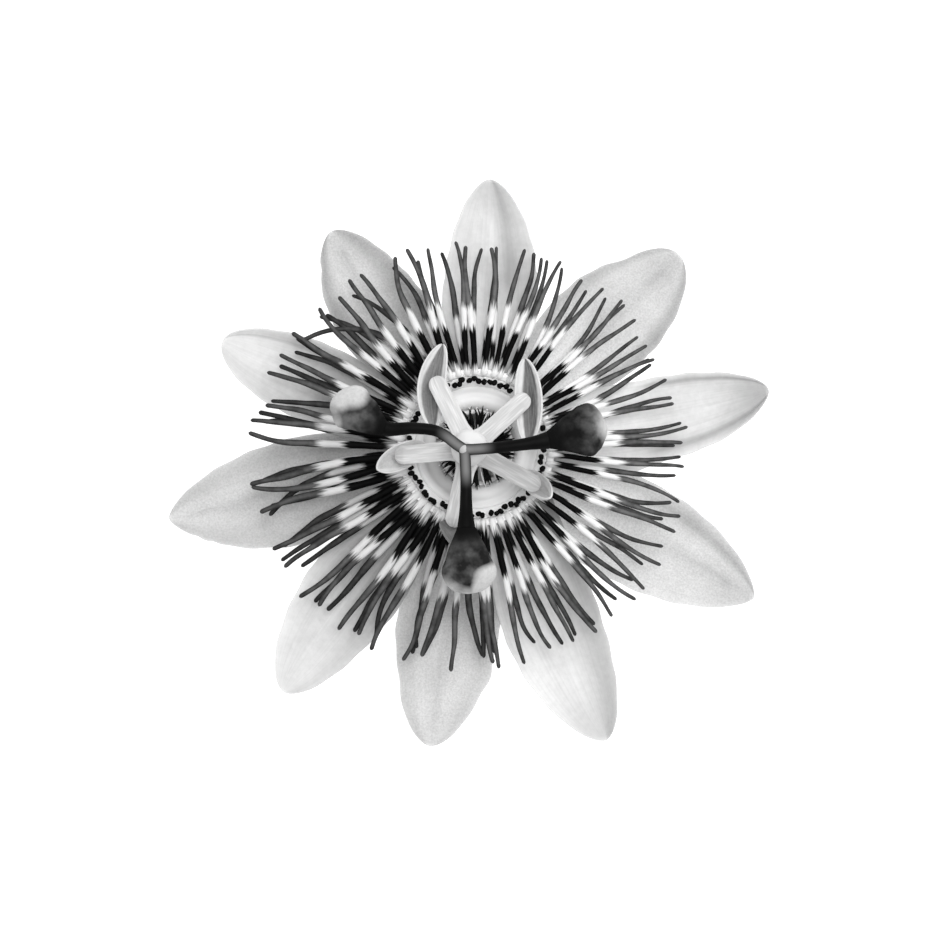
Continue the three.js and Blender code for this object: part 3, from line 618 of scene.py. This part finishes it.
i = np.arange(BEADS)
angle = np.radians((i + 0.7 * draw(i, 11)) * 360 / BEADS)
heads = around(BEAD_CIRCLE + 0.3 * two_way(i, 12), angle, BEAD_HEIGHT + 0.25 * two_way(i, 13))
rise = np.linspace(0, 1, 8)[None, :, None]
stalks = heads[:, None] + (1 - rise) * (STALK_FOOT - heads[:, None, 2:]) * np.array([0, 0, 1.0])
aside = 0.2 * around(1, 2 * np.pi * draw(i, 14), 0.4 * two_way(i, 15))
parts = [(*tube(stalks, STALK_RADIUS, 6, up=(1, 0, 0)), {"head": 0.0}),
         (*turned(rounded(COLLAR, closed=True), 120), {"head": 0.0}),
         (*balls(heads, 0.35 + 0.08 * draw(i, 16), lumps=0.05), {"head": 1.0}),
         (*balls(heads + aside, 0.3 + 0.08 * draw(i, 17), lumps=0.06, seed=2.0), {"head": 1.0})]
look = two_tone("bead_skin", rough=0.5, dark=0.93, light=0.98, label="head", marked=0.001, specular=0.1)
piece("beads", parts, "bead_ring", look)

# The membrane
# A smooth waxy lid slopes in from the rim, with a ridge and then a broad swell. Fine folds run in
# towards its edge. It is a little darker down its inner slope, and a painted shadow darkens the lower
# left, inside the ridge.
MEMBRANE = [(8.66, 6.2), (8.66, 7.36), (8.2, 7.44), (7.6, 7.2), (7.0, 7.45), (6.3, 7.42), (5.75, 7.05),
            (5.4, 6.5), (5.4, 5.9), (6.2, 6.4), (7.6, 6.4)]
FOLDS = 68
FOLD_HEIGHT = 0.03
PAINTED_SHADOW_SIDE = 215
points, uv = turned(rounded(MEMBRANE, closed=True), 240)
spin = bearing(points)
out = np.hypot(points[..., 0], points[..., 1])
inner = 1 - smooth(out, 5.6, 7.4)
points[..., 2] += FOLD_HEIGHT * inner * np.sin(FOLDS * spin + 1.5 * np.sin(5 * spin))
# Painted shadow on the lower left, where the column's shade falls.
shaded = 0.8 * np.clip(np.cos(spin - np.radians(PAINTED_SHADOW_SIDE)), 0, 1) ** 2 * (1 - smooth(out, 7.2, 8.2))
parts = [(points, uv, {"edge": np.maximum(0.15 * inner, shaded)})]
look = two_tone("membrane_wax", rough=0.4, dark=0.87, light=0.9, label="edge", marked=0.46, cells=900.0,
                patches=260.0, relief=0.00002)
piece("membrane", parts, "operculum", look)

# The fringe
# Black hairs start on a pale band at the membrane's edge, arch over the nectar cup and dip towards
# the column. A few pale hairs among them are painted light, for the bright streaks between the hairs,
# and small white grains lie where they start.
BAND = [(4.7, 5.9), (5.38, 5.9), (5.38, 6.5), (4.7, 6.5)]
# For each set of hairs: how many, a seed, how thick, how far out they start, and how pale. The pale set is
# painted light.
HAIRS = [(54, 21, 1.0, 5.6, 0.0), (61, 121, 0.6, 5.45, 0.0), (17, 221, 0.7, 5.6, 0.9)]
HAIR_HEIGHT = 7.2
HAIR_END = 2.2
GRAINS = 30
GRAIN_CIRCLE = 5.4
GRAIN_HEIGHT = 6.95


def hairs(count, seed, thick, start):
    """Hairs run in from the membrane's edge in bundles, with a sway. Their fine outer ends lie over
    the membrane, and their height follows a sine arch."""
    i = np.arange(count)[:, None]
    t = np.linspace(0, 1, 18)[None, :]
    even = (i + 0.5 * draw(i, seed)) * 360 / count
    spin = even + 2.2 * np.sin(np.radians(18 * even)) + 9 * two_way(i, seed + 1) * t * (2 - t)
    radius = mix(start + 0.9 * (draw(i, seed + 5) - 0.5), HAIR_END + 0.9 * draw(i, seed + 2), t)
    height = HAIR_HEIGHT - 0.9 * t * t + (0.25 + 0.4 * draw(i, seed + 3)) * np.sin(np.pi * t)
    girth = 0.03 + 0.17 * smooth(t, 0, 0.4) - 0.08 * smooth(t, 0.5, 1)
    girth = thick * girth * np.sqrt(np.clip((1 - t) / 0.05, 0, 1))
    return tube(around(radius, np.radians(spin), height), girth, 8)


i = np.arange(GRAINS)
spin = np.radians((i + 0.9 * draw(i, 131)) * 360 / GRAINS)
grains = around(GRAIN_CIRCLE + 0.35 * two_way(i, 132), spin, GRAIN_HEIGHT + 0.25 * draw(i, 133))
parts = [(*hairs(*form), {"pale": pale}) for *form, pale in HAIRS]
parts += [(*turned(rounded(BAND, closed=True), 120), {"pale": 0.95}),
          (*balls(grains, 0.08 + 0.08 * draw(i, 134), 6, 8), {"pale": 1.0})]
look = two_tone("fringe_hair", rough=0.5, dark=0.002, light=0.006, label="pale", marked=0.93, cells=2000.0,
                patches=900.0, specular=0.1)
piece("fringe", parts, "nectary_fringe", look)

# The column and the straps
# A smooth pale column leans from the cup, with a flared foot. Five flat straps leave its top, each
# with shallow channels along it, and narrow and dip where they meet their anthers.
LEAN = np.array([-0.84, -0.25, 13.0])
FOOT = 2.0
STRAP_HEIGHT = 15.1
STRAP_START = 0.4
STRAP_HALF = 1.35
STRAP_END_HALF = 0.98
STRAP_THICK = 0.35
COLUMN = [(0, 2.0), (2.4, 2.0), (2.55, 2.2), (2.55, 3.4), (1.9, 4.2), (1.3, 5.2), (1.15, 7.5), (1.15, 12),
          (1.4, 13.8), (1.9, 14.75), (1.95, 15.3), (1.6, 15.6), (0, 15.7)]
# Angle and length are the strap's, and size is the anther's scale. Heading is where the anther points,
# pitch how far that end is raised, and roll its turn about its length. Bow bends it to its left, and
# along and aside are where on it the strap ends. Tone is the grey of its inside, hollow how far that
# reaches to each side, and lines how streaked it is. Rim and bright are the tones of its rim and of its
# strap. These greys differ from stamen to stamen partly as painted light and shade, and the fifth
# anther's dark rim and inside are painted shadow.
STAMENS = [
    dict(angle=116.6, length=11.1, heading=84, pitch=0, roll=-2, bow=0.9, size=1, along=1.3, aside=-0.2,
         tone=0.26, lines=0.75, hollow=(-0.62, 0.68), bright=0.9, rim=1.0),
    dict(angle=42.5, length=10.9, heading=92, pitch=0, roll=3, bow=-0.3, size=1, along=0.8, aside=0,
         tone=0.22, lines=0.9, hollow=(-0.68, 0.42), bright=0.85, rim=1.0),
    dict(angle=185.3, length=10.4, heading=208, pitch=48, roll=0, bow=0, size=0.92, along=1.2, aside=-0.5,
         tone=0.66, lines=0.1, hollow=(-0.7, 0.7), bright=0.88, rim=1.0),
    dict(angle=-28.8, length=11, heading=-44, pitch=60, roll=0, bow=0, size=0.82, along=1.3, aside=0,
         tone=0.55, lines=0.15, hollow=(-0.6, 0.6), bright=0.72, rim=1.0),
    dict(angle=-102.5, length=11, heading=-42, pitch=12, roll=-36, bow=0, size=0.86, along=-3.4, aside=0.7,
         tone=0.2, lines=0.2, hollow=(-0.95, 0.95), bright=0.95, rim=0.3),
]


def leaned(points):
    """Moves each point sideways with its height, as the column leans."""
    share = (points[..., 2:3] - FOOT) / LEAN[2]
    return points + share * np.array([LEAN[0], LEAN[1], 0])


def strap_middle(stamen, u, v):
    """A straight line out from the leaning column. Its height is a sine arch less a dip at the end."""
    base = leaned(np.array([0, 0, STRAP_HEIGHT]))
    ahead = around(1, np.radians(stamen["angle"]), 0)
    left = np.array([-ahead[1], ahead[0], 0])
    half = mix(STRAP_HALF, STRAP_END_HALF, 0.25 * u + 0.75 * smooth(u, 0.88, 1))
    half = half + 0.5 * (1 - smooth(u, 0.05, 0.28))
    half = half * np.sqrt(np.clip(1 - (np.maximum(u - 0.92, 0) / 0.08) ** 2, 0, 1)) ** 0.8
    out = mix(STRAP_START, stamen["length"], u)
    height = 0.45 * np.sin(np.pi * u) - 0.65 * smooth(u, 0.86, 1.02) + 0.14 * v * v
    middle = base + ahead * out[..., None] + left * (v * half)[..., None]
    return middle + np.array([0, 0, 1.0]) * height[..., None]


def strap(stamen):
    """Both faces of a strap, its edges and end rounded, with low ribs along the upper one."""
    u, turn, v = two_faces(1 - (1 - np.linspace(0, 1, 72)) ** 1.3, 48)
    thick = STRAP_THICK * np.abs(np.sin(turn)) ** 0.5 * np.sqrt(np.clip((1 - u) / 0.04, 0, 1))
    ribs = 0.035 * np.cos(3 * np.pi * v) * smooth(u, 0.1, 0.3) * (np.sin(turn) > 0)
    points = strap_middle(stamen, u, v)
    points[..., 2] += np.sign(np.sin(turn)) * thick + ribs * np.abs(np.sin(turn))
    return points[None], surface_uv(u, 0.5 + 0.5 * v), {"bright": stamen["bright"]}


points, uv = turned(rounded(COLUMN), 48)
parts = [(leaned(points), uv * [0.2, 1], {"bright": 0.9})] + [strap(stamen) for stamen in STAMENS]
look, tree, shader, group = finish("stamen_skin", 0.5, cells=1600.0, patches=220.0, relief=0.00002,
                                   specular=0.15)
lines = ramp(tree, streaks(tree, own_uv(tree), (3, 9, 1), Detail=2.0), [(0.45, 0), (0.68, 0.9)])
tone = ramp(tree, group.outputs["Patch"], [(0.3, 0.66), (0.7, 0.74)])
# The bright mark sets each strap's grey, partly painted light and shade.
lined = times(tree, blend(tree, lines, tone, grey(0.93)), mark(tree, "bright", "Color"))
tree.links.new(lined, shader.inputs["Base Color"])
piece("column_and_straps", parts, "androgynophore", look)

# The anthers
# An anther is a shallow boat hung at the end of its strap. Its rim is thin and pale, and its inside
# is furrowed along the middle and dusted with pollen, and greyed with painted shade in the hollow. A
# short neck joins it to the strap.
ANTHER = dict(length=11.8, width=4.3, depth=1.3, wall=0.6, end=0.5, end_depth=0.3, clearance=0.82)
SIDE_ANGLE = 78
ANTHER_WALL = 0.28
NECK_RADIUS = 0.5
NECK_DROP = 0.55


def turn_about(axis, degrees):
    """The matrix of a turn about X, Y or Z."""
    c, s = np.cos(np.radians(degrees)), np.sin(np.radians(degrees))
    a, b = [(1, 2), (2, 0), (0, 1)][axis]
    matrix = np.eye(3)
    matrix[a, a] = matrix[b, b] = c
    matrix[b, a], matrix[a, b] = s, -s
    return matrix


def boat(stamen, u, v):
    """The boat's middle surface, with the side angle A: across is half·sin(A·v)/sin(A), and the drop
    follows the cosine."""
    s = 2 * u - 1
    belly = np.clip(1 - s * s, 0, 1)
    rim = np.radians(SIDE_ANGLE)
    half = mix(ANTHER["end"] * belly ** 0.3, (ANTHER["width"] - ANTHER["wall"]) / 2, belly ** 0.75)
    depth = mix(ANTHER["end_depth"], ANTHER["depth"], belly)
    across = half * np.sin(v * rim) / np.sin(rim) + stamen["bow"] * belly
    drop = depth * (np.cos(v * rim) - np.cos(rim)) / (1 - np.cos(rim))
    return np.stack([ANTHER["length"] / 2 * s, across, -drop], -1)


def anther(stamen):
    """Both faces of the boat, and its neck. The inside has a ridge along its middle and a swell on each
    side."""
    u, turn, v = two_faces(0.5 - 0.5 * np.cos(np.pi * np.linspace(0, 1, 64)), 56)
    near = boat(stamen, np.clip(u - NUDGE, 0.002, 0.996), v)
    far = boat(stamen, np.clip(u + NUDGE, 0.004, 0.998), v)
    held = np.clip(u, 0.01, 0.99)
    normal = normals(far - near, boat(stamen, held, v + NUDGE) - boat(stamen, held, v - NUDGE))
    inside = np.sin(turn) > 0
    ends = np.sqrt(np.clip(1 - (2 * u - 1) ** 2, 0, 1)) ** 0.5
    wall = ANTHER_WALL * np.abs(np.sin(turn)) ** 0.5 * ends
    furrow = 0.2 * np.exp(-(v / 0.09) ** 2) + 0.16 * np.exp(-((np.abs(v) - 0.42) / 0.22) ** 2)
    ripple = 0.03 * np.sin(2 * np.pi * (9 * u + 2 * v))
    lift = np.where(inside, wall + (furrow + ripple) * ends * (1 - np.abs(v) ** 6), -wall)
    points = stamen["size"] * (boat(stamen, u, v) + normal * lift[..., None])
    spin = turn_about(2, stamen["heading"]) @ turn_about(1, -stamen["pitch"]) @ turn_about(0, stamen["roll"])
    seat = np.array([stamen["along"], stamen["bow"] + stamen["aside"],
                     stamen["size"] * (ANTHER["wall"] / 2 - ANTHER["depth"]) + ANTHER["clearance"]])
    end = strap_middle(stamen, np.array(1.0), np.array(0.0)) - [0, 0, STRAP_THICK]
    points = points @ spin.T + end - spin @ seat
    low, high = stamen["hollow"]
    high = high * (1 - 0.6 * smooth(u, 0.5, 1))
    hollow = smooth(v, low - 0.12, low + 0.08) * (1 - smooth(v, high - 0.08, high + 0.12))
    marks = {"inside": inside * hollow, "tone": stamen["tone"], "rim": stamen["rim"],
             "lines": stamen["lines"] * smooth(-v, -0.5, 0.3)}
    neck = strap_middle(stamen, np.array(0.9), np.array(0.0)) - [0, 0, NECK_DROP]
    return [(points[None], surface_uv(u, 0.5 + 0.5 * v), marks),
            (*balls([neck], NECK_RADIUS, 10, 16), {"rim": 1.0})]


look, tree, shader, group = finish("anther_skin", 0.7, cells=3200.0, patches=500.0, relief=0.00006, sheen=0.1)
dark_lines = ramp(tree, streaks(tree, own_uv(tree), (3, 17, 1), Detail=2.0), [(0.4, 1), (0.6, 0)])
lined = math(tree, "MULTIPLY", mark(tree, "lines"), dark_lines)
pollen = ramp(tree, group.outputs["Cell"], [(0.35, 0.85), (0.65, 1.0)])
# The tone and rim marks carry each anther's painted shade as well as its grey.
tone = blend(tree, lined, times(tree, mark(tree, "tone", "Color"), pollen), grey(0.07))
rim = ramp(tree, group.outputs["Patch"], [(0.3, 0.7), (0.7, 0.8)])
rim = times(tree, rim, mark(tree, "rim", "Color"))
tree.links.new(blend(tree, mark(tree, "inside"), rim, tone), shader.inputs["Base Color"])
for number, stamen in enumerate(STAMENS, 1):
    piece(f"anther_{number}_boat", anther(stamen), f"anther_{number}", look)

# The ovary
# A smooth waxy egg stands on the column and bows a little to one side, with three faint furrows. It
# ends in a small grey knob where the styles meet.
OVARY = [(0, 15.95), (1.2, 16.05), (2.15, 16.9), (2.6, 18.2), (2.4, 19.4), (1.6, 20.4), (0.9, 21.0),
         (0.76, 21.5), (0.78, 22.2), (0.5, 22.7), (0, 22.8)]
OVARY_FOOT = np.array([-0.9, -0.27])
OVARY_BOW = np.array([0.25, 0.2])
OVARY_RISE = 6
KNOB = np.array([-1.59, -0.37, 22.0])
points, uv = turned(rounded(OVARY), 72)
body = smooth(points[..., 2], 16, 17.5) * (1 - smooth(points[..., 2], 19.5, 20.8))
points[..., :2] *= 1 - (0.03 * body * np.cos(3 * bearing(points) - 0.6) ** 8)[..., None]
rise = (points[..., 2:] - OVARY[0][1]) / OVARY_RISE
points[..., :2] += mix(OVARY_FOOT, KNOB[:2], rise) + OVARY_BOW * np.sin(np.pi * np.clip(rise, 0, 1))
parts = [(points, uv, {"knob": smooth(points[..., 2], 20.9, 21.4)})]
look = two_tone("ovary_wax", rough=0.35, dark=0.71, light=0.75, label="knob", marked=0.5, cells=1800.0,
                patches=300.0, relief=0.00002)
piece("ovary_egg", parts, "ovary", look)

# Styles and stigmas
# Three dark clubs leave the knob, bend out and flare into their heads. A head is velvety and dark
# where the style runs onto it, with a furrow behind its pale outer lobe.
STYLE_RADIUS = 0.76
STIGMA_NECK = 0.33
STIGMA_FLAT = 0.78
STIGMA_WIDEST = 0.6
# Points are the style's middle line and head the stigma's, and girth is the head's radius. Grey to and
# dark to are how far the greyer start of a style and the darker start of a head reach. A pale lobe has
# the direction it faces, the limits between which it sets in, and its strength.
STYLES = [
    dict(points=[(-2.5, 0.2, 21.9), (-5.2, 2.05, 22.8), (-8.6, 2.5, 22.9), (-12.3, 2.5, 22.4)],
         head=[(-15.95, 4.8, 21.9), (-19.3, 6.5, 21.7)], girth=3.1, grey_to=0.54, dark_to=0.5,
         pale=[((-0.35, 0.85, 0.35), 0.0, 1.0, 1.0), ((-0.97, -0.2, 0.1), 0.7, 0.98, 0.7)]),
    dict(points=[(-0.3, -0.35, 21.9), (3.0, -0.1, 22.8), (6.6, 0.35, 22.9), (9.7, 0.9, 22.4)],
         head=[(14.4, 2.15, 21.9), (17.5, 2.55, 21.7)], girth=3.64, grey_to=0.5, dark_to=0.85,
         pale=[((0.95, 0.3, 0.1), 0.25, 1.15, 0.85)]),
    dict(points=[(-1.5, -1.6, 21.9), (-1.38, -4.6, 22.8), (-1.38, -7.8, 22.9), (-1.35, -10.8, 22.4)],
         head=[(-1.1, -16.0, 21.9), (-1.0, -19.8, 21.7)], girth=3.7, grey_to=0.6, dark_to=0.5,
         pale=[((0.83, -0.55, 0.1), 0.42, 0.8, 0.95), ((-0.4, -0.9, 0.1), 0.6, 0.95, 0.82)]),
]


def through(points, t):
    """A smooth curve through points, each piece a cubic whose slopes come from its neighbours."""
    line = np.array(points, float)
    line = np.vstack([2 * line[0] - line[1], line, 2 * line[-1] - line[-2]])
    place = np.clip(t, 0, 1) * (len(line) - 3)
    k = np.minimum(place.astype(int), len(line) - 4)
    f = (place - k)[:, None]
    a, b, c, d = line[k], line[k + 1], line[k + 2], line[k + 3]
    cubic = 2 * b + (c - a) * f + (2 * a - 5 * b + 4 * c - d) * f ** 2 + (3 * b - a - 3 * c + d) * f ** 3
    return 0.5 * cubic


def style_line(style):
    """The points from the knob to the end of the head, and how far along them the head starts."""
    line = [KNOB, *style["points"], *style["head"]]
    return line, len(style["points"]) / (len(line) - 1)


def club(style):
    """A rod along the style's line, its radius turning to the head's neck with t^6. Its end closes just
    inside the head. The top is greyer near the knob, partly its own paler colour and partly a painted
    highlight."""
    line, joint = style_line(style)
    t = np.linspace(0, 1.02, 66)
    flat = mix(1, STIGMA_FLAT, smooth(t, 0.6, 1))[None, :, None]
    girth = mix(STYLE_RADIUS, STIGMA_NECK * style["girth"], np.minimum(t, 1) ** 6)
    girth = girth * (1 - 0.3 * smooth(t, 1, 1.02))
    points, uv = tube(through(line, joint * t)[None], girth[None], 24, flat=flat)
    # Painted highlight: only the top of the style is greyed.
    over = np.clip(-np.cos(2 * np.pi * uv[..., 1]), 0, 1) ** 2.2
    tone = (1 - smooth(t, 0.65 * style["grey_to"], style["grey_to"]))[None, :, None] * over
    return points, uv, {"tone": tone}


def head(style, index):
    """A rod along the head's line that swells to its widest place and closes as a quarter circle. Sines
    make it lumpy, pale lobes stand out, and a furrow lies behind the first of them, darkened with painted
    shade."""
    line, joint = style_line(style)
    s = np.linspace(-0.02, 1, 72)
    s = np.sort(np.append(s, [-0.015, 0.97, 0.98, 0.985, 0.99, 0.995, 0.9975]))
    rise = np.clip(s / STIGMA_WIDEST, 0, 1)
    swell = 0.5 * smooth(s, 0, STIGMA_WIDEST) + rise * (0.75 - 0.25 * rise * rise)
    swell = mix(STIGMA_NECK, 1, swell) * (1 - 0.3 * smooth(-s, 0, 0.02))
    close = np.sqrt(np.clip(1 - ((s - STIGMA_WIDEST) / (1 - STIGMA_WIDEST)) ** 2, 0, 1))
    girth = style["girth"] * np.where(s < STIGMA_WIDEST, swell, close)
    points, uv = tube(through(line, mix(joint, 1, s))[None], girth[None], 80, flat=STIGMA_FLAT)
    out = points - through(line, np.array([mix(joint, 1, 0.55)]))[0]
    out = out / np.linalg.norm(out, axis=-1, keepdims=True)
    wave = 0.06 * np.sin(5 * out[..., 0] + 3 * index) + 0.06 * np.sin(6 * out[..., 1] + index)
    facing = [out @ (np.array(aim) / np.linalg.norm(aim)) + wave for aim, *_ in style["pale"]]
    lobes = [full * smooth(near, low, high) for near, (_, low, high, full) in zip(facing, style["pale"])]
    pale = np.max(lobes, 0)
    furrow = np.exp(-((facing[0] - 0.22) / 0.16) ** 2)
    lumps = np.sin(5.1 * out[..., 0] + 2 * index) + np.sin(6.3 * out[..., 1] + index)
    lumps = 0.07 * (lumps + np.sin(5.7 * out[..., 2]))
    body = smooth(s, 0.15, 0.45)[None, :, None]
    relief = body * (lumps - 0.1 - 0.1 * furrow + 0.12 * smooth(pale, 0.2, 0.7))
    started = (1 - smooth(s, 0.05, style["dark_to"]))[None, :, None]
    marks = {"pale": pale * body, "furrow": 0.3 * furrow * body, "start": started}
    return points + out * relief[..., None], uv, marks


style_look = two_tone("style_skin", rough=0.5, dark=0.003, light=0.006, label="tone", marked=0.2,
                      cells=1900.0, patches=420.0, relief=0.00002, specular=0.05)
stigma_look, tree, shader, group = finish("stigma_velvet", 0.85, cells=2300.0, patches=420.0, relief=0.0001,
                                          specular=0.05)
wander = math(tree, "MULTIPLY", math(tree, "SUBTRACT", group.outputs["Patch"], 0.5), 0.35)
mask = ramp(tree, math(tree, "ADD", mark(tree, "pale"), wander), [(0.1, 0), (0.9, 1)])
mottled = ramp(tree, group.outputs["Patch"], [(0.38, 0.015), (0.5, 0.06), (0.64, 0.14)])
dark = blend(tree, mark(tree, "start"), mottled, grey(0.005))
light = ramp(tree, group.outputs["Cell"], [(0.3, 0.52), (0.7, 0.62)])
# Painted shade darkens the furrow.
velvet = blend(tree, mark(tree, "furrow"), blend(tree, mask, dark, light), grey(0.015))
tree.links.new(velvet, shader.inputs["Base Color"])

for index, style in enumerate(STYLES):
    number = index + 1
    piece(f"style_{number}_club", [club(style)], f"style_{number}", style_look)
    piece(f"stigma_{number}_head", [head(style, index)], f"stigma_{number}", stigma_look)

# Floor, light and camera
# A plain pale floor that shines faintly, under wide soft light, and the camera straight above the
# flower.
FLOOR_REACH = 3.0
# For each lamp: its name, place, size across and power.
LAMPS = [("window", (0.4, 0.4, 0.62), 0.35, 2.0), ("ceiling", (0.08, 0.12, 0.75), 0.4, 2.9)]
CAMERA_PLACE = (-0.00098, -0.003, 0.42)
LENS = 113.2
floor_mesh = bpy.data.meshes.new("floor")
corners = [(x * FLOOR_REACH, y * FLOOR_REACH, 0) for x, y in [(-1, -1), (1, -1), (1, 1), (-1, 1)]]
floor_mesh.from_pydata(corners, [], [(0, 1, 2, 3)])
floor = placed("floor", floor_mesh)
paper = bpy.data.materials.new("floor_paper")
paper.use_nodes = True
shader = paper.node_tree.nodes["Principled BSDF"]
shader.inputs["Base Color"].default_value = grey(0.6)
shader.inputs["Roughness"].default_value = 0.9
shader.inputs["Emission Color"].default_value = grey(1)
shader.inputs["Emission Strength"].default_value = 0.8
floor_mesh.materials.append(paper)

world = bpy.data.worlds.new("studio")
world.use_nodes = True
world.node_tree.nodes["Background"].inputs["Color"].default_value = grey(1)
world.node_tree.nodes["Background"].inputs["Strength"].default_value = 0.5
bpy.context.scene.world = world
bpy.context.scene.view_settings.view_transform = "Standard"

for name, place, size, watts in LAMPS:
    light = bpy.data.lights.new(name, "AREA")
    light.shape = "DISK"
    light.size = size
    light.energy = watts
    lamp = placed(name, light)
    lamp.location = place
    lamp.rotation_euler = (-lamp.location).to_track_quat("-Z", "Y").to_euler()

eye = bpy.data.cameras.new("camera")
eye.sensor_width = 36
eye.lens = LENS
eye.clip_start = 0.01
camera = placed("camera", eye)
camera.location = CAMERA_PLACE
bpy.context.scene.camera = camera
